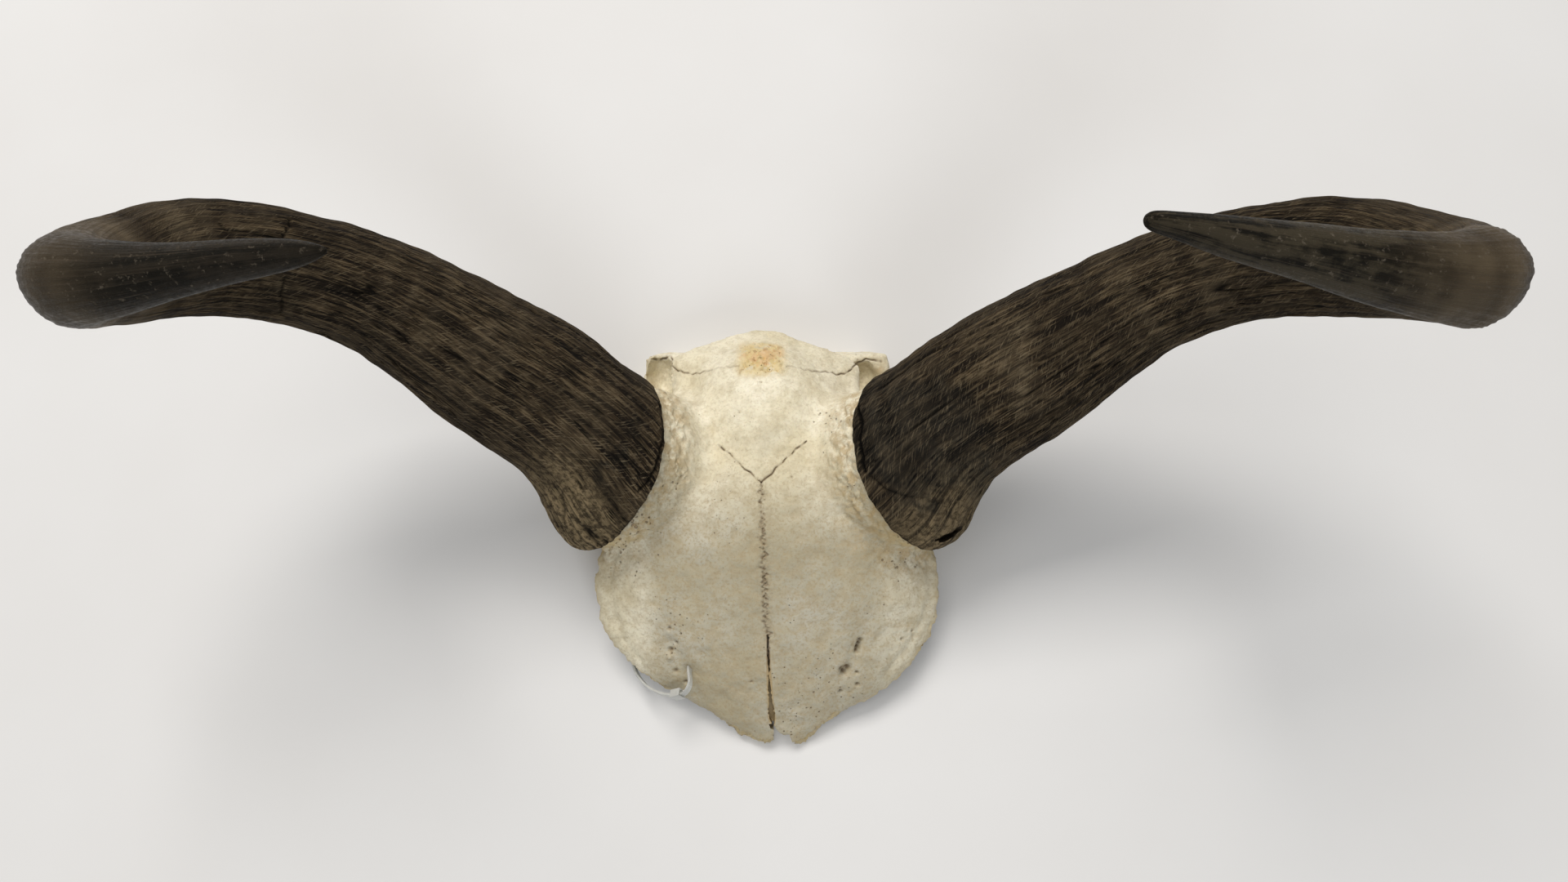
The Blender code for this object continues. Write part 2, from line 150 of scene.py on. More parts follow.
# Small openings for nerves and vessels: place, radius and depth.
PITS = (
    (39, -22.6, 0.9, 2.2), (38.6, -24.2, 0.95, 3), (38.1, -25.8, 1, 3.4),
    (37.6, -27.3, 0.9, 2.6), (33.6, -34.3, 1.5, 2.6), (32.2, -36.2, 1.3, 3),
    (31.2, -34.4, 1.1, 1.8), (37.7, -36, 0.7, 1.4),
    (37.9, -41.2, 0.8, 1.6), (31.1, -44.5, 0.8, 1.5), (56.4, -22.6, 0.7, 1),
    (60.9, -19.4, 0.6, 1), (-39.5, -17.3, 0.8, 1.4), (-36.9, -23.4, 0.8, 1.3),
    (-39.4, -26.8, 1, 1.6), (-37.3, -35.6, 0.9, 1.5), (-33.3, -40.5, 0.8, 1.4),
    (-1.9, 84, 0.45, 0.8), (22, 70.5, 0.5, 0.8), (-10.9, 71.1, 0.45, 0.6),
    (-33.4, 45.3, 0.6, 0.8), (-5.9, -39.2, 0.6, 0.8), (10.8, 45, 0.6, 0.8),
)
# Shallow furrows that run forward from those openings: points, half width and depth.
FURROWS = (
    (((39, -20), (36, -32), (33, -40), (29, -48)), 4, 1),
    (((-39, -24), (-34.5, -33), (-29, -38), (-29.3, -46)), 3.6, 1.1),
    (((-62.5, 14), (-64.6, 0), (-63.2, -12), (-60, -22), (-52.2, -32)), 1.5, 0.6),
    (((67.5, 10), (68, -4), (65.2, -15.5), (59.2, -25.6), (50.2, -36)), 1.5, 0.6),
)
NUB = (-39.5, -29.6)
# How finely the bone is divided: in metres, and how far from a carved line in millimetres.
BONE_VOXEL = 0.00186
FINE_REACH = 3.4
# After a cut: points closer than this are merged, and flatter edges dissolved, in metres.
MERGE_WITHIN = 0.0001
FLAT_WITHIN = 0.00005

# Marks on the sheaths, by side, in the picture's pixels: sooty and pale spots with their radius.
SOOT = {
    -1: ((775, 514, 11), (762, 550, 15), (735, 575, 14)),
    1: ((1080, 508, 52), (1108, 548, 60), (1150, 522, 56), (1180, 560, 40), (1128, 590, 34)),
}
PALE = {
    -1: ((805, 470, 16), (215, 272, 14), (345, 350, 8)),
    1: ((1252, 436, 7), (1254, 455, 7), (1252, 478, 7), (1248, 500, 8), (1195, 610, 9),
        (1250, 400, 12)),
}
# Deep cracks, by side: depth, and a line in the picture's pixels.
DEEP_CRACKS = {
    -1: (
        (0.9, ((355.5, 271), (351.6, 280.5), (347.2, 288), (350, 300))),
        (0.5, ((267.6, 273.8), (280, 283.3), (302.4, 282.7), (322, 287.2), (346, 289.4))),
        (0.6, ((348.3, 342), (344.9, 360), (343.8, 384))),
        (0.8, ((810.4, 495), (815.8, 511), (814.8, 535), (807.8, 562), (797, 587), (784, 601))),
        (0.6, ((687.6, 612), (691.5, 623), (689.8, 637))),
        (0.5, ((551, 525), (565, 539), (594, 553))),
        (0.4, ((470, 386), (498, 398), (521, 405))),
    ),
    1: (
        (1.0, ((1049, 497), (1054, 519), (1050.5, 540), (1055, 560), (1058, 578))),
        (0.5, ((1064, 584), (1084, 600), (1104, 607), (1128, 610))),
        (0.5, ((1272, 443), (1300, 430), (1325, 413.6))),
        (0.5, ((1378, 366.7), (1392, 361), (1419, 346))),
        (0.4, ((1330, 470), (1352, 452), (1371, 444))),
    ),
}
# Chip in the keel of the left sheath: its two ends and its thickness.
CHIP = ((67.4, 19.5, 7.6), (78.3, 24.6, 8.1), 1.73)

# Cable tie: the middle of its strap, as in the solids.
TIE_ROUTE = (
    (-31.3, -35.4, -6), (-30.8, -39.2, -3), (-32.8, -43.4, -5), (-38, -45.4, -9),
    (-45, -45.4, -14), (-51.5, -42.5, -19), (-56, -36, -23.5), (-54.5, -29.5, -27),
    (-47, -26, -27), (-37.5, -28.5, -23), (-32.3, -33, -15),
)
TIE_WIDTH = 2.5
TIE_THICKNESS = 1.1
TIE_STEPS = 150
TIE_TOOTH = 0.05
TIE_HEAD = (5.2, 4.4, 3.4)
TIE_HEAD_AFTER = 2
TIE_HEAD_SHARE = 0.65

# The studio. Each light: name, place, what it faces, size, watts and colour.
FLOOR_SIZE = 6.0
FLOOR_DROP = 0.0001
LIGHTS = (
    ("far_light", (-0.35, 1.2, 1.8), (0, 0.05, 0.05), (1.2, 0.8), 32, (1.0, 0.97, 0.93)),
    ("near_light", (0.35, -1.5, 1.3), (0, 0, 0.05), (1.1, 0.7), 12, (0.92, 0.96, 1.0)),
    ("top_light", (-0.5, 0.1, 2.2), (0, 0, 0), (1.2, 1.2), 9, (1.0, 0.98, 0.95)),
)
SURROUND_COLOUR = (1.0, 0.99, 0.97, 1)
SURROUND_STRENGTH = 0.22


# Small helpers for points and meshes.

def unit(vector):
    vector = np.asarray(vector, float)
    return vector / np.linalg.norm(vector)


def square_to(vector, axis):
    """The direction nearest the vector that is square to the axis."""
    return unit(vector - axis * vector.dot(axis))


def step_lengths(points):
    return np.linalg.norm(np.diff(points[:, :3], axis=0), axis=1)


def shares_along(points):
    """How far along the chain each point lies, from 0 to 1."""
    steps = step_lengths(points)
    return np.concatenate([[0], np.cumsum(steps)]) / steps.sum()


def smooth_through(points, amounts):
    """Points at amounts 0..1 along a smooth curve through the given points."""
    points = np.asarray(points, float)
    at = shares_along(points)
    slopes = np.gradient(points, at, axis=0)
    result = []
    for amount in amounts:
        i = int(min(max(np.searchsorted(at, amount) - 1, 0), len(at) - 2))
        span = at[i + 1] - at[i]
        t = (amount - at[i]) / span
        result.append(
            (2 * t**3 - 3 * t**2 + 1) * points[i]
            + (t**3 - 2 * t**2 + t) * span * slopes[i]
            + (-2 * t**3 + 3 * t**2) * points[i + 1]
            + (t**3 - t**2) * span * slopes[i + 1]
        )
    return np.array(result)


def ease(low, high, value):
    """0 below low, 1 above high, and smooth between them."""
    t = np.clip((np.asarray(value, float) - low) / (high - low), 0, 1)
    return t * t * (3 - 2 * t)


def speckle(points, size, seed=0.0, octaves=1):
    """Noise between about -1 and 1 at each point, in patches of about that size."""
    scaled = np.asarray(points, float) / size + seed * 17.3
    if octaves == 1:
        return np.array([noise.noise(p) for p in scaled])
    return np.array([noise.fractal(p, 0.6, 2.1, octaves) for p in scaled])


def distance_to_line(points, line):
    """Distance in X and Y from each point to a chain of straight pieces."""
    flat = points[:, :2]
    best = np.full(len(flat), 1e9)
    for start, end in zip(line, line[1:]):
        start, end = np.asarray(start[:2], float), np.asarray(end[:2], float)
        along = end - start
        t = np.clip((flat - start) @ along / (along @ along), 0, 1)
        best = np.minimum(best, np.linalg.norm(flat - start - t[:, None] * along, axis=1))
    return best


def picture_place(points):
    """Where each point in the forehead's frame falls in the picture, in pixels."""
    scale = LENS / FILM_WIDTH * PICTURE[0] / (EYE[2] - points[:, 2])
    across = PICTURE[0] / 2 + (points[:, 0] - EYE[0]) * scale
    return np.c_[across, PICTURE[1] / 2 - (points[:, 1] - EYE[1]) * scale]


def keep_largest(piece):
    """Removes the crumbs that a cut leaves, also those that hang on by one edge."""
    mesh = piece.data
    loops = read(mesh.loops, "edge_index", 1, int)
    corners = read(mesh.polygons, "loop_total", 1, int)
    owner = np.repeat(np.arange(len(corners)), corners)[np.argsort(loops, kind="stable")]
    uses = np.bincount(loops, minlength=len(mesh.edges))
    joined = (np.cumsum(uses) - uses)[uses == 2]
    a, b = owner[joined], owner[joined + 1]
    label = np.arange(len(corners))
    while True:
        low = np.minimum(label[a], label[b])
        better = label.copy()
        np.minimum.at(better, a, low)
        np.minimum.at(better, b, low)
        better = better[better]
        if (better == label).all():
            break
        label = better
    names, counts = np.unique(label, return_counts=True)
    bm = edit(piece)
    select_faces(piece, bm, label != names[counts.argmax()])
    bpy.ops.mesh.delete(type="FACE")
    leave_edit()


def bump(distance, width):
    """1 at no distance, and fading away over that width."""
    return np.exp(-(distance / width) ** 2)


def spots(seen, places):
    """1 in the middle of each placed spot, fading over its radius."""
    best = np.zeros(len(seen))
    for across, down, radius in places:
        near = np.hypot(seen[:, 0] - across, seen[:, 1] - down)
        best = np.maximum(best, bump(near, radius))
    return best


def wavy(line, pitch, sway, seed):
    """A chain of points along a line that swings from side to side, as a suture does."""
    line = np.asarray(line, float)
    count = int(step_lengths(line).sum() / pitch)
    points = smooth_through(np.c_[line, np.zeros(len(line))], np.linspace(0, 1, count + 1))[:, :2]
    bent = []
    for i, point in enumerate(points):
        ahead = points[min(i + 1, count)] - points[max(i - 1, 0)]
        side = unit((-ahead[1], ahead[0]))
        swing = (1 if i % 2 else -1) * (0.5 + 0.9 * noise.noise(Vector((i * 1.7, seed, 0))))
        drift = noise.noise(Vector((i * 0.37, seed, 5)))
        fade = min(1.0, i / 2, (count - i) / 2)
        bent.append(point + side * sway * fade * (swing + 0.6 * drift))
    return bent


def deselect():
    if bpy.context.object and bpy.context.object.mode != "OBJECT":
        bpy.ops.object.mode_set(mode="OBJECT")
    bpy.ops.object.select_all(action="DESELECT")


def only(piece):
    deselect()
    piece.select_set(True)
    bpy.context.view_layer.objects.active = piece


def edit(piece, kind="FACE"):
    only(piece)
    bpy.ops.object.mode_set(mode="EDIT")
    bpy.ops.mesh.select_mode(type=kind)
    bpy.ops.mesh.select_all(action="DESELECT")
    return bmesh.from_edit_mesh(piece.data)


def select_all():
    bpy.ops.mesh.select_all(action="SELECT")


def edit_all(piece):
    edit(piece)
    select_all()


def leave_edit():
    bpy.ops.object.mode_set(mode="OBJECT")


def modify(piece, kind, **settings):
    """Adds one modifier and applies it."""
    only(piece)
    modifier = piece.modifiers.new(kind.lower(), kind)
    for name, value in settings.items():
        setattr(modifier, name, value)
    bpy.ops.object.modifier_apply(modifier=modifier.name)


def read(items, name, width=3, kind=float):
    """That property of every item: a row for each, or a number for each if the width is 1."""
    values = np.empty(len(items) * width, kind)
    items.foreach_get(name, values)
    return values.reshape(-1, width) if width > 1 else values


def cut_away(piece, tool):
    """Cuts the tool's shape out of the piece, and removes the tool."""
    modify(piece, "BOOLEAN", operation="DIFFERENCE", object=tool, solver="EXACT")
    bpy.data.objects.remove(tool)


def wear(piece, look):
    piece.data.materials.clear()
    piece.data.materials.append(look)


def write_points(mesh, points):
    mesh.vertices.foreach_set("co", points.astype(np.float32).ravel())
    mesh.update()


def read_layer(mesh, name):
    return read(mesh.attributes[name].data, "value", 1)


def write_layer(mesh, name, values):
    """One number or one vector for each vertex, which a material can read by name."""
    values = np.asarray(values, np.float32)
    kind, key = ("FLOAT", "value") if values.ndim == 1 else ("FLOAT_VECTOR", "vector")
    layer = mesh.attributes.get(name) or mesh.attributes.new(name, kind, "POINT")
    layer.data.foreach_set(key, values.ravel())


ROTATION = np.array(Matrix.Rotation(SLOPE, 3, "X"))


def to_world(points):
    return np.asarray(points, float) * MM @ ROTATION.T + np.array(ORIGIN)


def to_forehead(points):
    return (points - np.array(ORIGIN)) @ ROTATION / MM


def places_and_normals(mesh):
    """Of every vertex, in the forehead's frame."""
    places = to_forehead(read(mesh.vertices, "co"))
    return places, read(mesh.vertex_normals, "vector") @ ROTATION


def relax(mesh, rounds, shrink=0.5, swell=-0.53):
    """Evens out small bumps without making the shape smaller."""
    points = read(mesh.vertices, "co")
    a, b = read(mesh.edges, "vertices", 2, int).T
    count = np.bincount(a, minlength=len(points)) + np.bincount(b, minlength=len(points))
    for _ in range(rounds):
        for factor in (shrink, swell):
            total = np.empty_like(points)
            for axis in range(3):
                total[:, axis] = (
                    np.bincount(a, points[b, axis], len(points))
                    + np.bincount(b, points[a, axis], len(points))
                )
            points = points + factor * (total / count[:, None] - points)
    write_points(mesh, points)


def seat_axes(side):
    normal = unit(np.array(SEAT_NORMAL) * (side, 1, 1))
    keel = np.array(SEAT_KEEL_SIDE) * (side, 1, 1)
    keel = square_to(keel, normal)
    centre = np.array(SEAT_CENTRE, float) * (side, 1, 1) + (SET_OVER, 0, 0)
    return centre, normal, keel, np.cross(normal, keel)


# The bone.

def seat_distance(points, side):
    """How far each point lies outside a horn's rim, and its height over the seat."""
    centre, normal, keel, across = seat_axes(side)
    away = points - centre
    along, wide = away @ keel, away @ across
    share = np.hypot(along / SEAT_LONG, wide / SEAT_SHORT)
    return (share - 1) * SEAT_SHORT, away @ normal


def select_faces(piece, bm, wanted):
    for face, chosen in zip(bm.faces, wanted):
        face.select_set(bool(chosen))
    bmesh.update_edit_mesh(piece.data)


def face_centres(bm):
    centres = np.array([face.calc_center_median() for face in bm.faces])
    normals = np.array([face.normal for face in bm.faces])
    return centres, normals


def bone_blank():
    """The plate from the frame, merged, evened and divided finely where it is seen."""
    deselect()
    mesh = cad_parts["skull_plate"].data.copy()
    bone = bpy.data.objects.new("bone_plate", mesh)
    bpy.context.scene.collection.objects.link(bone)
    edit_all(bone)
    bpy.ops.mesh.remove_doubles(threshold=0.00002)
    leave_edit()
    for centre, halves in TEMPLES:
        deselect()
        bpy.ops.mesh.primitive_uv_sphere_add(segments=32, ring_count=20, radius=1.0)
        scoop = bpy.context.object
        scoop.data.transform(FOREHEAD @ Matrix.Translation(centre) @ Matrix.Diagonal((*halves, 1)))
        cut_away(bone, scoop)
    bm = edit(bone)
    centres, normals = face_centres(bm)
    select_faces(bone, bm, (normals[:, 2] < -0.99) & (centres[:, 2] < 0.0001))
    bpy.ops.mesh.extrude_region_move(TRANSFORM_OT_translate={"value": (0, 0, -0.006)})
    leave_edit()
    modify(bone, "REMESH", mode="VOXEL", voxel_size=BONE_VOXEL)
    relax(bone.data, 24)

    for reach in (None, FINE_REACH):
        bm = edit(bone)
        centres, normals = face_centres(bm)
        above = (normals @ ROTATION)[:, 2] > 0.12
        wanted = above & (centres[:, 2] > 0.001)
        if reach:
            local = to_forehead(centres)
            near = np.full(len(local), 1e9)
            for line in (*CORONAL, MIDLINE, *LAMBDOID, CRACK, PRONG_ENDS):
                near = np.minimum(near, distance_to_line(local, line))
            for x, y, *_ in PITS:
                near = np.minimum(near, np.hypot(local[:, 0] - x, local[:, 1] - y))
            wanted &= near < reach
        select_faces(bone, bm, wanted)
        bpy.ops.mesh.subdivide(number_cuts=1, smoothness=0)
        leave_edit()
    relax(bone.data, 3)
    return bone


def carve_bone(bone):
    """Moves the surface as a sculptor would, and notes what each spot is for the material."""
    mesh = bone.data
    points, normals = places_and_normals(mesh)
    top = ease(0.0, 0.3, normals[:, 2])
    shown = top > 0.02
    shift = np.zeros(len(points))
    seam_and_shade = np.zeros(len(points))

    shift[shown] += 0.9 * speckle(points[shown], 24, 1, 3) + 0.3 * speckle(points[shown], 6, 2)
    shift[shown] += 0.17 * speckle(points[shown], 2.4, 3, 2)

    for line, width, depth in FURROWS:
        shift -= depth * bump(distance_to_line(points, line), width) * top

    # Interlocking midline suture, the two open coronal arms and the nape's suture.
    band = bump(distance_to_line(points, MIDLINE), 1.9) * top
    seamed = band > 0.01
    broken = np.zeros(len(points))
    broken[seamed] = ease(-0.35, 0.25, speckle(points[seamed], 1.5, 7, 2))
    for seed, pitch, sway in ((3, 1.0, 1.9), (4, 1.9, 1.4)):
        near = distance_to_line(points, wavy(MIDLINE, pitch, sway, seed))
        line = bump(near, 0.34) * (0.3 + 0.7 * broken)
        shift -= 0.5 * line * top
        seam_and_shade = np.maximum(seam_and_shade, 0.75 * line)
    shift[seamed] += 0.35 * band[seamed] * speckle(points[seamed], 1.2, 8)
    seam_and_shade = np.maximum(seam_and_shade, 0.3 * band * broken)
    gaps = np.zeros(len(points))
    gaps[shown] = 0.35 + 0.65 * ease(-0.35, 0.15, speckle(points[shown], 2.6, 61))
    for seed, line in enumerate(CORONAL):
        near = distance_to_line(points, wavy(line, 2.6, 0.55, 11 + seed))
        uneven = 0.30 + 0.16 * speckle(points * (1, 1, 0), 5, 13)
        shift -= 0.9 * gaps * bump(near, uneven) * top
        seam_and_shade = np.maximum(seam_and_shade, gaps * bump(near, uneven))
    for seed, line in enumerate(LAMBDOID):
        near = distance_to_line(points, wavy(line, 1.7, 0.5, 21 + seed))
        ends = ease(16, 34, np.abs(points[:, 0] + 3))
        shift -= (0.25 + 0.6 * ends) * gaps * bump(near, 0.34) * top
        seam_and_shade = np.maximum(seam_and_shade, (0.35 + 0.65 * ends) * gaps * bump(near, 0.32))

    for x, y, radius, depth in PITS:
        near = np.hypot(points[:, 0] - x, points[:, 1] - y)
        shift -= depth * bump(near, radius) * top
        # Painted shade: each opening is darkened, the more so the deeper it is.
        strength = min(1, 0.6 + 0.12 * depth)
        seam_and_shade = np.maximum(seam_and_shade, strength * bump(near / radius, 0.68))

    # Where the prongs broke off, the top has chipped away.
    edge = distance_to_line(points, PRONG_ENDS)
    chipped = edge < 8
    edge = edge[chipped] + 1.1 * speckle(points[chipped], 1.9, 71, 2)
    broke = np.zeros(len(points))
    broke[chipped] = ease(2.6, 1.9, edge) * top[chipped]
    shift -= 0.9 * broke
    shift[chipped] += 0.6 * broke[chipped] * speckle(points[chipped], 1.1, 73)
    near = np.hypot(points[:, 0] - NUB[0], points[:, 1] - NUB[1])
    shift += 1.5 * bump(near, 1.6) * top

    # Rough, stained collars round the horns, painted shade in the temple hollows, and the torn
    # attachment on the crest.
    seen = picture_place(points)
    stain_and_shade = np.zeros(len(points))
    for side in (-1, 1):
        outside, height = seat_distance(points, side)
        collar = ease(13, 1, outside) * ease(-26, -8, height)
        shift[shown] += 1.1 * (collar * top)[shown] * speckle(points[shown], 2.8, 31, 3)
        stain_and_shade = np.maximum(stain_and_shade, collar)
    # Painted shade: the temple hollows are darkened like the stained collars.
    stain_and_shade = np.maximum(stain_and_shade, 0.9 * top * spots(seen, TEMPLE_SHADE))
    crest = np.exp(-((points[:, 0] + 2.1) / 9.8) ** 6 - ((points[:, 1] - 94.0) / 7.6) ** 6)
    crest *= ease(-36, -28, points[:, 2])
    shift[shown] += 1.5 * crest[shown] * speckle(points[shown], 2.4, 41, 3)

    # The thin orbital rims are slightly toothed.
    rim = ease(0.75, 0.35, np.abs(normals[:, 2])) * ease(30, 45, np.abs(points[:, 0]))
    rim *= ease(45, 25, points[:, 1])
    worn = ease(0.94, 0.70, np.abs(normals[:, 2])) * ease(52, 62, points[:, 0])
    rim = np.maximum(rim, 0.7 * worn * ease(32, 20, points[:, 1]))
    fringe = rim > 0.02
    shift[fringe] += 0.7 * rim[fringe] * speckle(points[fringe], 2.6, 51, 2)

    points += normals * shift[:, None]
    write_points(mesh, to_world(points))
    write_layer(mesh, "seam_and_shade", seam_and_shade * (normals[:, 2] > -0.2))
    write_layer(mesh, "stain_and_shade", stain_and_shade)
    write_layer(mesh, "rust", crest)
    # Painted shade: the front of the plate is greyed, more towards the nasal end, less on the
    # orbital rims, and least on the rim at negative X.
    rims = np.where(points[:, 0] < 0, 0.65, 0.40)
    rims = rims * ease(40, 54, np.abs(points[:, 0])) * ease(35, 15, points[:, 1])
    write_layer(mesh, "shade", ease(62, 10, points[:, 1]) * (1 - rims))
    write_layer(mesh, "rim", np.maximum(rim, 0.9 * broke))


def upright_block(outline, bottom, fall):
    """A block with upright walls in the forehead's frame. Its bottom drops by fall along Y."""
    deselect()
    bpy.ops.mesh.primitive_circle_add(vertices=len(outline), radius=1.0, fill_type="NGON")
    block = bpy.context.object
    bm = edit(block, "VERT")
    bm.verts.ensure_lookup_table()
    for vert, (x, y) in zip(bm.verts, outline):
        vert.co = Vector((x, y, CUT_TOP))
    bmesh.update_edit_mesh(block.data)
    select_all()
    bpy.ops.mesh.extrude_region_move(TRANSFORM_OT_translate={"value": (0, 0, bottom - CUT_TOP)})
    bm = bmesh.from_edit_mesh(block.data)
    for vert in bm.verts:
        if vert.select:
            vert.co.z += fall * vert.co.y
    bmesh.update_edit_mesh(block.data)
    select_all()
    bpy.ops.mesh.normals_make_consistent(inside=False)
    leave_edit()
    block.data.transform(FOREHEAD)
    return block


def crack_outline():
    """Both edges of the crack that opens the midline from the suture to the nasal notch."""
    left, right = [], []
    for i, (x, y, width) in enumerate(smooth_through(CRACK, np.linspace(0, 1, 44))):
        drift = 0.45 * noise.noise(Vector((i * 0.3, 3, 0)))
        jag = 0.42 * width * noise.noise(Vector((i * 0.9, 7, 0)))
        left.append((x + drift - width / 2 - jag, y))
        right.append((x + drift + width / 2 + jag, y))
    return left + right[::-1]


def make_bone():
    bone = bone_blank()
    for outline, bottom, fall in (
        (crack_outline(), CRACK_BOTTOM, CRACK_FALL), (NOTCH, NOTCH_BOTTOM, 0),
        (PRONG_ENDS, NOTCH_BOTTOM, 0),
    ):
        block = upright_block(outline, bottom, fall)
        cut_away(bone, block)
    edit_all(bone)
    bpy.ops.mesh.remove_doubles(threshold=MERGE_WITHIN)
    bpy.ops.mesh.dissolve_degenerate(threshold=FLAT_WITHIN)
    leave_edit()
    carve_bone(bone)
    edit_all(bone)
    bpy.ops.mesh.bisect(plane_co=(0, 0, 0), plane_no=(0, 0, 1), use_fill=True, clear_inner=True)
    select_all()
    bpy.ops.mesh.quads_convert_to_tris(quad_method="BEAUTY", ngon_method="BEAUTY")
    leave_edit()
    keep_largest(bone)
    points = to_forehead(read(bone.data.vertices, "co"))
    widths = np.interp(-points[:, 1], [-row[1] for row in CRACK], [row[2] for row in CRACK])
    near = distance_to_line(points, CRACK) - widths / 2
    write_layer(bone.data, "amber", ease(0.8, 0.2, near) * ease(-24, -40, points[:, 1]))
    # Painted shade: the crack's floor is darkened where the crack is narrow, towards the nape.
    inside = ease(0.5, 0.1, near) * ease(-52, -40, points[:, 1])
    write_layer(bone.data, "seam_and_shade", np.maximum(read_layer(bone.data, "seam_and_shade"), inside))
    only(bone)
    bpy.ops.object.shade_smooth_by_angle(angle=math.radians(50))
    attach(bone, "root")
    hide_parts("skull_plate")
    wear(bone, bone_material())


# The horn sheaths.

def horn_section(side):
    """The horn's length, and a function that gives centre, axes and size at an amount of it."""
    stations = np.array(ARM + HOOKS[side], float) * (side, 1, 1, 1, 1, 1)
    for i in range(SET_OVER_STATIONS):
        stations[i, 0] += SET_OVER * (1 - i / SET_OVER_STATIONS)
    total = step_lengths(stations).sum()
    _, seat_normal, seat_keel, _ = seat_axes(side)

    def section(amount):
        before, here, after = smooth_through(
            stations, (max(amount - 0.004, 0), amount, min(amount + 0.004, 1))
        )
        tangent = unit(after[:3] - before[:3])
        blend = max(0.0, 1 - amount * total / SEAT_BLEND)
        normal = unit(tangent * (1 - blend) + seat_normal * blend)
        keel = np.array((0, -1, 0)) * (1 - blend) + seat_keel * blend
        keel = square_to(keel, normal)
        return here, normal, keel, np.cross(normal, keel)

    return section, total


def horn_rings(side):
    """Rings of points from inside the sheath's mouth to the tip, with their distance along it."""
    section, total = horn_section(side)
    steps = [(0.0, rise, share) for rise, share in MOUTH]
    steps += [(2.6, 0.0, 1.0), (5.5, 0.0, 1.0)]
    count = int(round((total - 11) / HORN_STEP))
    steps += [(11 + (total - 11) * i / count, 0.0, 1.0) for i in range(count + 1)]
    rings = []
    for along, rise, share in steps:
        (x, y, z, keel_reach, back_reach, thickness), normal, keel, across = section(along / total)
        centre = np.array((x, y, z)) + normal * rise
        ring = []
        for i in range(SPOKES):
            angle = 2 * math.pi * i / SPOKES
            reach = keel_reach if math.cos(angle) > 0 else back_reach
            narrowing = 1 - KEEL_TAPER * max(math.cos(angle), 0)
            ring.append(
                centre + share * (keel * reach * math.cos(angle)
                                  + across * thickness / 2 * narrowing * math.sin(angle))
            )
        rings.append((along, ring))
    return rings


def swept(name, rings, closed=False):
    """Extrudes a circle from ring to ring. Each vertex keeps its spoke and its distance along."""
    spokes = len(rings[0][1])
    deselect()
    bpy.ops.mesh.primitive_circle_add(
        vertices=spokes, radius=1.0, fill_type="NOTHING" if closed else "NGON"
    )
    piece = bpy.context.object
    piece.name = piece.data.name = name
    bm = edit(piece, "VERT")
    spoke = bm.verts.layers.int.new("spoke")
    along = bm.verts.layers.float.new("along")
    cosine = bm.verts.layers.float.new("cosine")
    sine = bm.verts.layers.float.new("sine")
    for i, vert in enumerate(bm.verts):
        vert[spoke] = i
        vert[cosine] = math.cos(2 * math.pi * i / spokes)
        vert[sine] = math.sin(2 * math.pi * i / spokes)
    bmesh.update_edit_mesh(piece.data)
    select_all()
    for i, (distance, ring) in enumerate(rings):
        if i:
            bpy.ops.mesh.extrude_region_move()
        bm = bmesh.from_edit_mesh(piece.data)
        spoke = bm.verts.layers.int["spoke"]
        along = bm.verts.layers.float["along"]
        for vert in bm.verts:
            if vert.select:
                vert.co = Vector(ring[vert[spoke]])
                vert[along] = distance
        bmesh.update_edit_mesh(piece.data)
    if closed:
        bpy.ops.mesh.select_all(action="DESELECT")
        bpy.ops.mesh.select_mode(type="EDGE")
        bpy.ops.mesh.select_non_manifold()
        bpy.ops.mesh.bridge_edge_loops()
    select_all()
    bpy.ops.mesh.normals_make_consistent(inside=False)
    leave_edit()
    return piece


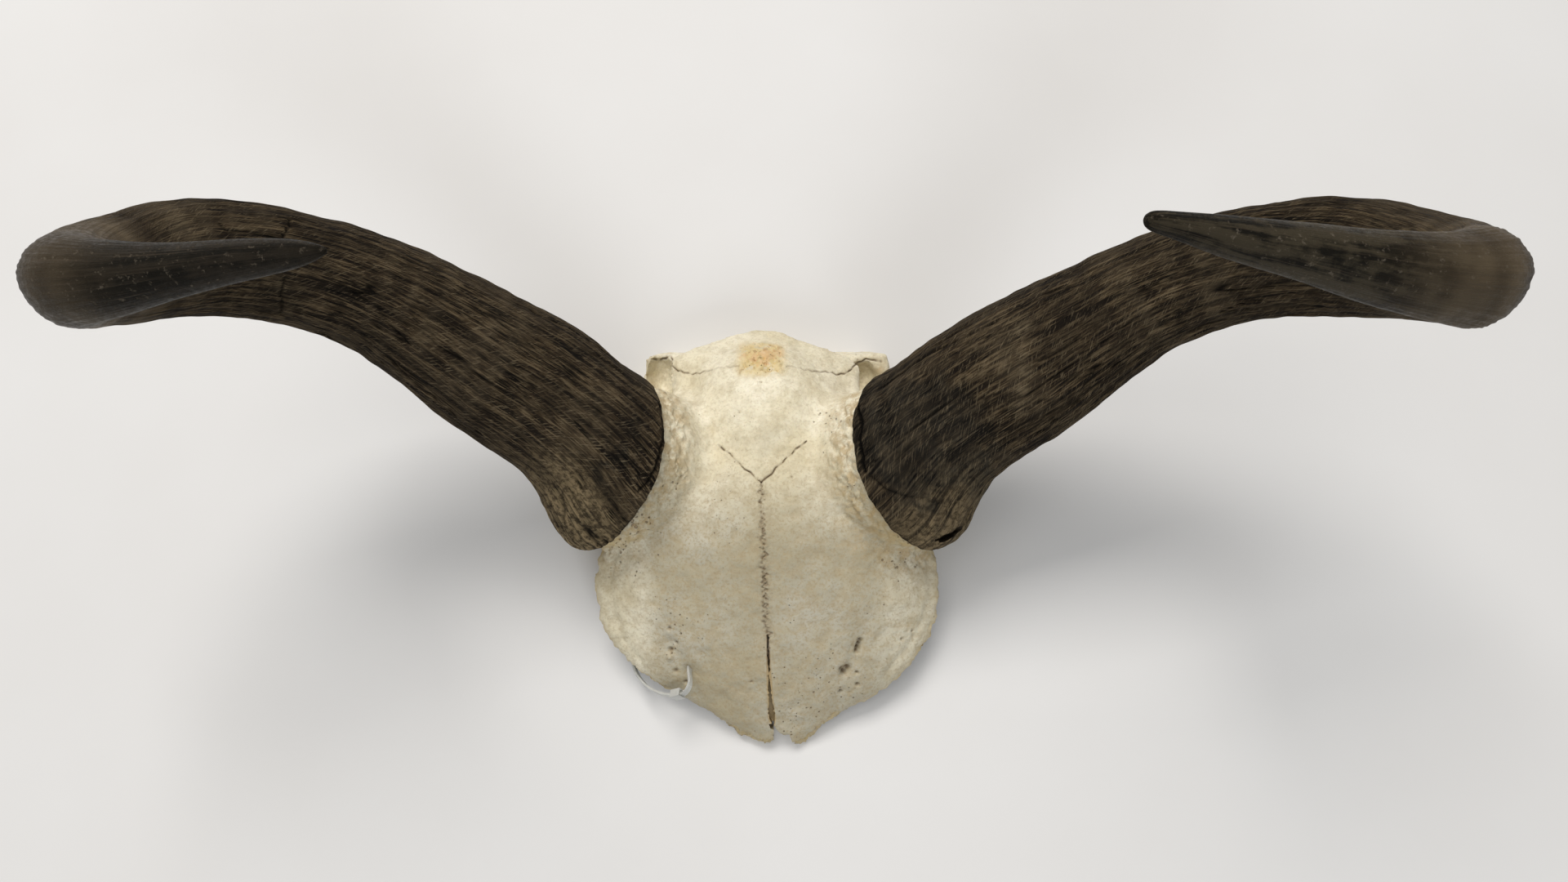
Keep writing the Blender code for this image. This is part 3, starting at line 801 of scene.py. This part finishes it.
def carve_horn(horn, side):
    """Moves grooves, cracks, growth bands and a ragged rim into the sheath's surface."""
    mesh = horn.data
    points, normals = places_and_normals(mesh)
    along, cosine, sine = (read_layer(mesh, name) for name in ("along", "cosine", "sine"))
    total = along.max()
    amount = along / total
    round_about = np.c_[cosine, sine] * GRAIN_RADIUS
    young = ease(0.95, 0.5, amount)
    outer = ease(-0.3, 0.6, along)

    def streaks(across, lengthways, seed, octaves=1):
        place = np.c_[round_about / across, along / lengthways]
        return speckle(place, 1.0, seed + side, octaves)

    fibres = streaks(1.5, 18, 1)
    ribs = streaks(4.2, 40, 5)
    split = np.abs(streaks(4.5, 70, 9))
    where = streaks(9, 30, 13)
    crack = ease(0.055, 0.0, split) * ease(0.0, 0.25, where) * ease(0.55, 0.40, amount)
    placed = np.zeros(len(points))
    seen = picture_place(points)
    seen[:, 0] += 2.5 * speckle(points, 4.0, 33)
    facing = ease(0.05, 0.3, normals[:, 2]) * ease(0.66, 0.60, amount)
    for depth, line in DEEP_CRACKS[side]:
        placed = np.maximum(placed, depth * facing * ease(2.7, 0.7, distance_to_line(seen, line)))
    crack = np.maximum(crack, placed)
    bands = streaks(40, 5.5, 17)
    lumps = streaks(12, 16, 21)
    keel = ease(0.3, 0.9, cosine) * ease(46, 8, along)
    porous = streaks(2.0, 3.4, 25)

    shift = young * (0.42 * fibres + 0.40 * ribs + 0.34 * bands) - 0.9 * crack - 0.4 * placed
    shift += (0.12 + 0.5 * ease(0.72, 0.45, amount)) * lumps
    shift += 0.5 * keel * porous
    shift *= outer

    section, _ = horn_section(side)
    _, axis, _, _ = section(0.0)
    ragged = 0.5 + 0.5 * streaks(5, math.inf, 29, 3)
    lift = 1.7 * np.clip(ragged, 0, 1.4) * ease(12, 0, along)
    points += normals * shift[:, None] + axis * lift[:, None]
    write_points(mesh, to_world(points))

    write_layer(mesh, "grain", np.c_[round_about, along])
    turned = np.arctan2(sine, cosine) + 0.75 * along / GRAIN_RADIUS
    slanted = np.c_[np.cos(turned), np.sin(turned)] * GRAIN_RADIUS
    write_layer(mesh, "weave", np.c_[slanted, along])
    wide = streaks(70, 15, 37)
    write_layer(mesh, "bands", 0.5 + 0.3 * bands + 0.3 * wide)
    write_layer(mesh, "tipward", ease(0.66, 0.84, amount))
    write_layer(mesh, "crack", crack)
    # Painted shade: a mask of where the surface sinks between fibres and ribs.
    write_layer(mesh, "groove_shade", ease(0.5, -0.8, fibres + 0.5 * ribs) * young)
    write_layer(mesh, "polish", ease(0.50, 0.72, amount + 0.03 * lumps))
    write_layer(mesh, "keel", keel * outer)
    frayed = seen + np.c_[speckle(points, 7, 41, 3), speckle(points, 7, 43, 3)] * 22
    write_layer(mesh, "soot", facing * ease(0.12, 0.62, spots(frayed, SOOT[side])))
    write_layer(mesh, "pale", facing * spots(seen, PALE[side]))


def chip_keel(horn):
    """Breaks a dark slot out of the keel's lower edge."""
    start, end, thickness = CHIP
    start, end = Vector(start), Vector(end)
    deselect()
    bpy.ops.mesh.primitive_ico_sphere_add(subdivisions=4, radius=1.0)
    block = bpy.context.object
    for vert in block.data.vertices:
        vert.co *= 1 + 0.35 * noise.noise(vert.co * 2.3)
    turn = (end - start).to_track_quat("X", "Z").to_matrix().to_4x4()
    turn.translation = (start + end) / 2
    sizes = Matrix.Diagonal(((end - start).length / 2, thickness, thickness * 2, 1))
    block.data.transform(FOREHEAD @ turn @ sizes)
    cut_away(horn, block)
    keep_largest(horn)


def make_horn(name, side):
    rings = [(along, to_world(ring)) for along, ring in horn_rings(side)]
    horn = swept(name, rings)
    modify(horn, "SUBSURF", levels=HORN_DIVISIONS, render_levels=HORN_DIVISIONS)
    carve_horn(horn, side)
    if side > 0:
        chip_keel(horn)
    only(horn)
    bpy.ops.object.shade_smooth()
    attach(horn, "root")
    animal = "left" if side > 0 else "right"
    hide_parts(f"{animal}_horn_base", f"{animal}_horn_bend", f"{animal}_horn_tip")
    wear(horn, horn_material(side))


# The cable tie.

def make_tie():
    route = np.array(TIE_ROUTE, float)
    looped = np.concatenate([route[-2:], route, route[:3]])
    at = shares_along(looped)
    start, end = at[2], at[2 + len(route)]
    centres = smooth_through(
        looped, [start + (end - start) * i / TIE_STEPS for i in range(TIE_STEPS)]
    )
    _, _, axes = np.linalg.svd(centres - centres.mean(axis=0))
    axle = axes[2] * (1 if axes[2][2] > 0 else -1)
    profile = ((-1, 0.55), (-0.8, 1), (0.8, 1), (1, 0.55), (1, -0.55), (0.8, -1), (-0.8, -1),
               (-1, -0.55))
    rings = []
    for i, centre in enumerate(centres):
        tangent = unit(centres[(i + 1) % TIE_STEPS] - centres[i - 1])
        wide = square_to(axle, tangent)
        thick = np.cross(tangent, wide)
        tooth = TIE_TOOTH if i % 2 else 0.0
        ring = []
        for across, up in profile:
            sink = tooth if up > 0 and abs(across) < 0.9 else 0.0
            ring.append(
                centre + wide * across * TIE_WIDTH / 2
                + thick * (up * TIE_THICKNESS / 2 - sink)
            )
        rings.append((float(i), to_world(ring)))
    strap = swept("tie_strap", rings, closed=True)

    before, after = route[TIE_HEAD_AFTER], route[TIE_HEAD_AFTER + 1]
    tangent = unit(after - before)
    wide = square_to(axle, tangent)
    thick = np.cross(tangent, wide)
    deselect()
    bpy.ops.mesh.primitive_cube_add(size=1.0)
    head = bpy.context.object
    head.name = head.data.name = "tie_head"
    bm = edit(head)
    for end in (-1, 1):
        bpy.ops.mesh.select_all(action="DESELECT")
        bm = bmesh.from_edit_mesh(head.data)
        select_faces(head, bm, [
            face.normal.x * end > 0.9 and abs(face.calc_center_median().x) > 0.4
            for face in bm.faces
        ])
        bpy.ops.mesh.inset(thickness=0.16, depth=0)
        bpy.ops.mesh.inset(thickness=0.02, depth=-0.16)
    leave_edit()
    place = Matrix.Diagonal((*TIE_HEAD, 1))
    axes = Matrix((Vector(tangent), Vector(wide), Vector(thick))).transposed().to_4x4()
    axes.translation = Vector(before + (after - before) * TIE_HEAD_SHARE)
    head.data.transform(FOREHEAD @ axes @ place)
    modify(head, "BEVEL", width=0.00035, segments=3, limit_method="ANGLE")
    look = nylon_material()
    for piece in (strap, head):
        only(piece)
        bpy.ops.object.shade_smooth_by_angle(angle=math.radians(40))
        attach(piece, "root")
        wear(piece, look)
    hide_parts("cable_tie")


# Materials.

def put(tree, kind, inputs=None, **settings):
    """Adds a node. An input is given a value, or is linked where it is another node's output."""
    made = tree.nodes.new("ShaderNode" + kind)
    for name, value in settings.items():
        setattr(made, name, value)
    for key, value in (inputs or {}).items():
        if isinstance(value, bpy.types.NodeSocket):
            tree.links.new(value, made.inputs[key])
        else:
            made.inputs[key].default_value = value
    return made


def maths(tree, operation, first, second=0.0, third=0.0, clamp=False):
    made = put(tree, "Math", {0: first, 1: second, 2: third}, operation=operation)
    made.use_clamp = clamp
    return made.outputs[0]


def times(tree, first, second, clamp=False):
    return maths(tree, "MULTIPLY", first, second, clamp=clamp)


def mixed(tree, factor, under, over, blend="MIX"):
    made = put(
        tree, "Mix", {0: factor, 6: under, 7: over}, data_type="RGBA", blend_type=blend
    )
    return made.outputs[2]


def ramp(tree, factor, *stops):
    """A colour ramp. Each stop is a place and a colour, or a place and a grey."""
    made = put(tree, "ValToRGB", {0: factor})
    while len(made.color_ramp.elements) < len(stops):
        made.color_ramp.elements.new(0.5)
    for element, (place, colour) in zip(made.color_ramp.elements, stops):
        element.position = place
        element.color = colour if isinstance(colour, tuple) else (colour, colour, colour, 1)
    return made.outputs[0]


def cloud(tree, vector, scale, detail=3.0, roughness=0.55):
    return put(
        tree, "TexNoise",
        {"Vector": vector, "Scale": scale, "Detail": detail, "Roughness": roughness},
    ).outputs[0]


def layer(tree, name, output="Fac"):
    return put(tree, "Attribute", attribute_name=name).outputs[output]


def group(name, inputs, outputs):
    """A new node group with its sockets. Gives the tree and its two end nodes."""
    tree = bpy.data.node_groups.new(name, "ShaderNodeTree")
    for label, kind in inputs:
        tree.interface.new_socket(label, in_out="INPUT", socket_type="NodeSocket" + kind)
    for label, kind in outputs:
        tree.interface.new_socket(label, in_out="OUTPUT", socket_type="NodeSocket" + kind)
    return tree, tree.nodes.new("NodeGroupInput").outputs, tree.nodes.new("NodeGroupOutput").inputs


def laid_over(tree, colour, *coats):
    """The colour with each coat laid over it in turn: a coat is a mask and its own colour."""
    for mask, coat in coats:
        colour = mixed(tree, mask, colour, (*coat, 1))
    return colour


def broken_up(tree, name, spread, *stops):
    """A layer as a mask, broken up by a ramp over some noise."""
    return times(tree, layer(tree, name), ramp(tree, spread, *stops))


def pores_group():
    """Small round pores of uneven size: a mask, and a height that dips in each."""
    tree, given, result = group(
        "pores", (("Vector", "Vector"), ("Scale", "Float"), ("Amount", "Float")),
        (("Mask", "Float"), ("Height", "Float")),
    )
    cells = put(tree, "TexVoronoi", {"Vector": given["Vector"], "Scale": given["Scale"]})
    patches = cloud(tree, given["Vector"], times(tree, given["Scale"], 0.07), 2)
    size = times(tree, ramp(tree, patches, (0.42, 0.0), (0.7, 1.0)), given["Amount"])
    size = times(tree, size, cells.outputs["Color"])
    reach = times(tree, size, 0.42)
    inside = maths(tree, "SUBTRACT", reach, cells.outputs["Distance"])
    mask = times(tree, inside, 9.0, clamp=True)
    tree.links.new(mask, result["Mask"])
    tree.links.new(maths(tree, "SUBTRACT", 1.0, mask), result["Height"])
    return tree


def fibre_group():
    """Long fibres that follow a vector whose third part runs along them: two masks."""
    tree, given, result = group(
        "fibres", (("Vector", "Vector"), ("Width", "Float"), ("Stretch", "Float")),
        (("Fine", "Float"), ("Broad", "Float")),
    )
    apart = put(tree, "SeparateXYZ", {0: given["Vector"]}).outputs
    drawn = maths(tree, "DIVIDE", apart[2], given["Stretch"])
    fibre = put(tree, "CombineXYZ", {0: apart[0], 1: apart[1], 2: drawn}).outputs[0]
    scale = maths(tree, "DIVIDE", 1.0, given["Width"])
    tree.links.new(cloud(tree, fibre, scale, 4, 0.65), result["Fine"])
    tree.links.new(cloud(tree, fibre, times(tree, scale, 0.22), 3), result["Broad"])
    return tree


def blank_material(name):
    made = bpy.data.materials.new(name)
    made.use_nodes = True
    tree = made.node_tree
    shader = tree.nodes["Principled BSDF"]
    return made, tree, shader


GROUPS = {}


def grouped(tree, name, inputs):
    if name not in GROUPS:
        GROUPS[name] = {"pores": pores_group, "fibres": fibre_group}[name]()
    return put(tree, "Group", inputs, node_tree=GROUPS[name]).outputs


def bone_material():
    """Old dry bone: cream over beige, stained at the horns, with pores and dark seams, and painted
    shade: greyed towards the nasal end and darkened in the temple hollows, the openings and the
    crack.
    """
    made, tree, shader = blank_material("bone")
    here = put(tree, "TexCoord").outputs["Object"]
    broad = cloud(tree, here, 30, 4, 0.55)
    blotch = cloud(tree, here, 95, 5, 0.65)
    torn = cloud(tree, here, 130, 5, 0.7)
    rust = cloud(tree, here, 210, 5, 0.7)
    fine = cloud(tree, here, 260, 4, 0.6)
    grit = cloud(tree, here, 900, 3, 0.6)
    colour = ramp(
        tree, broad, (0.36, (0.73, 0.65, 0.455, 1)), (0.50, (0.80, 0.735, 0.555, 1)),
        (0.62, (0.87, 0.81, 0.64, 1)),
    )
    # Painted shade: the colour is greyed where the shade layer is set, towards the nasal end.
    grey = mixed(tree, 1.0, colour, (0.545, 0.54, 0.525, 1), "MULTIPLY")
    colour = mixed(tree, layer(tree, "shade"), colour, grey)
    lower = maths(tree, "MULTIPLY_ADD", layer(tree, "shade"), 0.6, 0.4)
    flecks = ramp(tree, fine, (0.40, 0.50), (0.53, 0.0))
    specks = ramp(tree, grit, (0.37, 0.60), (0.49, 0.0))
    worn = maths(tree, "MULTIPLY_ADD", layer(tree, "stain_and_shade"), 0.9, 0.8)
    pores = grouped(tree, "pores", {"Vector": here, "Scale": 520.0, "Amount": worn})
    colour = laid_over(
        tree, colour,
        (ramp(tree, blotch, (0.40, 0.32), (0.52, 0.0)), (0.45, 0.37, 0.22)),
        (times(tree, flecks, lower), (0.40, 0.32, 0.19)),
        (times(tree, specks, lower), (0.36, 0.28, 0.16)),
        # Stained collars, and painted shade in the temple hollows.
        (broken_up(tree, "stain_and_shade", rust, (0.44, 0.0), (0.58, 0.65)), (0.44, 0.31, 0.14)),
        (broken_up(tree, "rust", torn, (0.38, 0.25), (0.46, 0.95)), (0.68, 0.53, 0.255)),
        (broken_up(tree, "rust", blotch, (0.53, 0.0), (0.58, 0.55)), (0.70, 0.44, 0.23)),
        (broken_up(tree, "rust", rust, (0.56, 0.0), (0.60, 0.7)), (0.38, 0.23, 0.09)),
        (broken_up(tree, "rim", blotch, (0.4, 0.8), (0.6, 0.3)), (0.56, 0.43, 0.21)),
        (times(tree, pores["Mask"], 0.6), (0.24, 0.15, 0.07)),
        # Dark sutures, and painted shade in the openings and the crack.
        (layer(tree, "seam_and_shade"), (0.115, 0.063, 0.027)),
        (layer(tree, "amber"), (0.42, 0.31, 0.155)),
    )
    tree.links.new(colour, shader.inputs["Base Color"])
    tree.links.new(ramp(tree, broad, (0.3, 0.72), (0.7, 0.52)), shader.inputs["Roughness"])
    height = maths(tree, "ADD", times(tree, fine, 0.5), pores["Height"])
    bump = put(tree, "Bump", {"Height": height, "Strength": 1.0, "Distance": 0.0010})
    tree.links.new(bump.outputs[0], shader.inputs["Normal"])
    shader.inputs["Subsurface Weight"].default_value = 0.06
    shader.inputs["Subsurface Radius"].default_value = (0.004, 0.0025, 0.0015)
    return made


def horn_material(side):
    """Weathered fibrous horn that turns darker and smoother towards the tip."""
    made, tree, shader = blank_material("horn_left" if side > 0 else "horn_right")
    grain = layer(tree, "grain", "Vector")
    here = put(tree, "TexCoord").outputs["Object"]
    fine = grouped(tree, "fibres", {"Vector": grain, "Width": 0.55, "Stretch": 13.0})
    strands = grouped(tree, "fibres", {"Vector": grain, "Width": 1.35, "Stretch": 26.0})
    splits = grouped(tree, "fibres", {"Vector": grain, "Width": 6.0, "Stretch": 16.0})
    hairs = grouped(
        tree, "fibres", {"Vector": layer(tree, "weave", "Vector"), "Width": 0.5, "Stretch": 6.0}
    )
    patches = cloud(tree, here, 55, 5, 0.6)
    grown = layer(tree, "bands")

    colour = ramp(
        tree, fine["Fine"], (0.40, (0.030, 0.020, 0.012, 1)), (0.50, (0.086, 0.060, 0.032, 1)),
        (0.60, (0.20, 0.148, 0.086, 1)),
    )
    colour = laid_over(
        tree, colour,
        (ramp(tree, strands["Fine"], (0.43, 0.95), (0.483, 0.0)), (0.009, 0.006, 0.004)),
        (ramp(tree, strands["Broad"], (0.38, 0.30), (0.50, 0.0)), (0.019, 0.014, 0.010)),
        (ramp(tree, patches, (0.40, 0.36), (0.54, 0.0)), (0.018, 0.013, 0.009)),
        (ramp(tree, hairs["Fine"], (0.55, 0.0), (0.64, 0.7)), (0.25, 0.195, 0.12)),
        (ramp(tree, grown, (0.25, 0.35), (0.5, 0.0)), (0.016, 0.012, 0.009)),
        (ramp(tree, grown, (0.5, 0.0), (0.8, 0.35)), (0.15, 0.115, 0.072)),
    )

    # The keel's lobe is frayed to a paler and rougher fibre. Soot only darkens what is there.
    frayed = (0.32, 0.24, 0.135, 1) if side > 0 else (0.46, 0.345, 0.19, 1)
    rough = cloud(tree, here, 480, 4, 0.65)
    rough = ramp(tree, rough, (0.42, (0.13, 0.097, 0.055, 1)), (0.54, frayed))
    lobe = broken_up(tree, "keel", strands["Fine"], (0.40, 0.3), (0.50, 0.9))
    colour = mixed(tree, lobe, colour, rough)
    pale = broken_up(tree, "pale", fine["Fine"], (0.40, 0.0), (0.55, 0.7))
    colour = laid_over(tree, colour, (pale, (0.25, 0.195, 0.12)))
    smoke = cloud(tree, here, 110, 6, 0.7)
    sooty = broken_up(tree, "soot", hairs["Fine"], (0.5, 1.0), (0.62, 0.45))
    sooty = times(tree, sooty, ramp(tree, smoke, (0.44, 0.65), (0.54, 1.0)))
    colour = mixed(tree, sooty, colour, (0.36, 0.41, 0.50, 1), "MULTIPLY")
    # Painted shade: the sunken grooves are darkened.
    shaded_grooves = times(tree, layer(tree, "groove_shade"), 0.5)
    colour = laid_over(tree, colour, (shaded_grooves, (0.012, 0.009, 0.006)))

    # Towards the tip the horn is worn smooth, streaked and scuffed.
    scuffs = cloud(tree, here, 520, 6, 0.75)
    streaks = grouped(tree, "fibres", {"Vector": grain, "Width": 9.0, "Stretch": 4.0})
    tone = times(tree, cloud(tree, here, 160, 5, 0.65), 0.35)
    tone = maths(tree, "MULTIPLY_ADD", streaks["Fine"], 0.65, tone)
    deep = (0.042, 0.034, 0.021, 1) if side > 0 else (0.018, 0.014, 0.009, 1)
    dark = ramp(tree, tone, (0.44, (0.006, 0.005, 0.003, 1)), (0.54, deep))
    brown = ramp(tree, grown, (0.30, (0.036, 0.025, 0.014, 1)), (0.75, (0.12, 0.09, 0.055, 1)))
    tip = mixed(tree, layer(tree, "tipward"), brown, dark)
    tip = laid_over(
        tree, tip,
        (ramp(tree, scuffs, (0.575, 0.0), (0.66, 0.7)), (0.12, 0.10, 0.075)),
        (ramp(tree, strands["Fine"], (0.56, 0.0), (0.66, 0.4)), (0.07, 0.052, 0.035)),
    )
    colour = mixed(tree, layer(tree, "polish"), colour, tip)
    split = maths(tree, "ABSOLUTE", maths(tree, "SUBTRACT", splits["Fine"], 0.5))
    split = ramp(tree, split, (0.0, 1.0), (0.018, 0.0))
    split = times(tree, split, ramp(tree, patches, (0.45, 0.0), (0.56, 1.0)))
    split = times(tree, split, maths(tree, "SUBTRACT", 1.0, layer(tree, "polish")))
    split = maths(tree, "MAXIMUM", split, layer(tree, "crack"))
    colour = laid_over(tree, colour, (split, (0.005, 0.004, 0.003)))
    tree.links.new(colour, shader.inputs["Base Color"])

    dull = ramp(tree, fine["Fine"], (0.3, 0.70), (0.7, 0.92))
    glossy = ramp(tree, scuffs, (0.40, 0.34), (0.62, 0.62))
    tree.links.new(mixed(tree, layer(tree, "polish"), dull, glossy), shader.inputs["Roughness"])
    rise = maths(tree, "ADD", fine["Fine"], times(tree, strands["Fine"], 0.8))
    rise = maths(tree, "MULTIPLY_ADD", hairs["Fine"], 0.5, rise)
    rise = maths(tree, "SUBTRACT", rise, times(tree, split, 0.6))
    calm = times(tree, rise, 0.10)
    height = mixed(tree, layer(tree, "polish"), rise, calm)
    bump = put(tree, "Bump", {"Height": height, "Strength": 1.0, "Distance": 0.002})
    tree.links.new(bump.outputs[0], shader.inputs["Normal"])
    shader.inputs["Specular IOR Level"].default_value = 0.09
    return made


def nylon_material():
    """Clear nylon that scatters a little of the light."""
    made, tree, shader = blank_material("clear_nylon")
    here = put(tree, "TexCoord").outputs["Object"]
    haze = cloud(tree, here, 300, 3)
    colour = ramp(tree, haze, (0.3, (0.70, 0.70, 0.66, 1)), (0.7, (0.81, 0.81, 0.77, 1)))
    tree.links.new(colour, shader.inputs["Base Color"])
    tree.links.new(ramp(tree, haze, (0.3, 0.34), (0.7, 0.5)), shader.inputs["Roughness"])
    shader.inputs["Transmission Weight"].default_value = 0.4
    shader.inputs["Subsurface Weight"].default_value = 0.3
    shader.inputs["Subsurface Radius"].default_value = (0.002, 0.002, 0.002)
    shader.inputs["IOR"].default_value = 1.5
    return made


def floor_material():
    made, tree, shader = blank_material("pale_floor")
    here = put(tree, "TexCoord").outputs["Object"]
    paper = cloud(tree, here, 6, 4)
    colour = ramp(tree, paper, (0.3, (0.73, 0.72, 0.71, 1)), (0.7, (0.76, 0.755, 0.75, 1)))
    tree.links.new(colour, shader.inputs["Base Color"])
    shader.inputs["Roughness"].default_value = 0.8
    return made


# The studio.

def area_light(name, place, aim, size, power, colour):
    light = bpy.data.lights.new(name, "AREA")
    light.shape = "RECTANGLE"
    light.size, light.size_y = size
    light.energy = power
    light.color = colour
    made = bpy.data.objects.new(name, light)
    made.location = place
    made.rotation_euler = (Vector(aim) - Vector(place)).to_track_quat("-Z", "Y").to_euler()
    bpy.context.scene.collection.objects.link(made)


def make_studio():
    deselect()
    bpy.ops.mesh.primitive_plane_add(size=FLOOR_SIZE, location=(0, 0, -FLOOR_DROP))
    floor = bpy.context.object
    floor.name = floor.data.name = "floor"
    bpy.ops.object.transform_apply(location=True, rotation=True, scale=True)
    floor.data.materials.append(floor_material())
    for light in LIGHTS:
        area_light(*light)
    world = bpy.data.worlds.new("studio")
    world.use_nodes = True
    surround = world.node_tree.nodes["Background"].inputs
    surround["Color"].default_value = SURROUND_COLOUR
    surround["Strength"].default_value = SURROUND_STRENGTH
    bpy.context.scene.world = world
    bpy.context.scene.view_settings.view_transform = "Standard"

    camera = bpy.data.cameras.new("camera")
    camera.lens = LENS
    camera.sensor_width = FILM_WIDTH
    camera.clip_start = 0.01
    made = bpy.data.objects.new("camera", camera)
    made.location = FOREHEAD @ Vector(EYE)
    made.rotation_euler = (SLOPE, 0, 0)
    bpy.context.scene.collection.objects.link(made)
    bpy.context.scene.camera = made


make_studio()
make_bone()
make_horn("right_sheath", -1)
make_horn("left_sheath", 1)
make_tie()
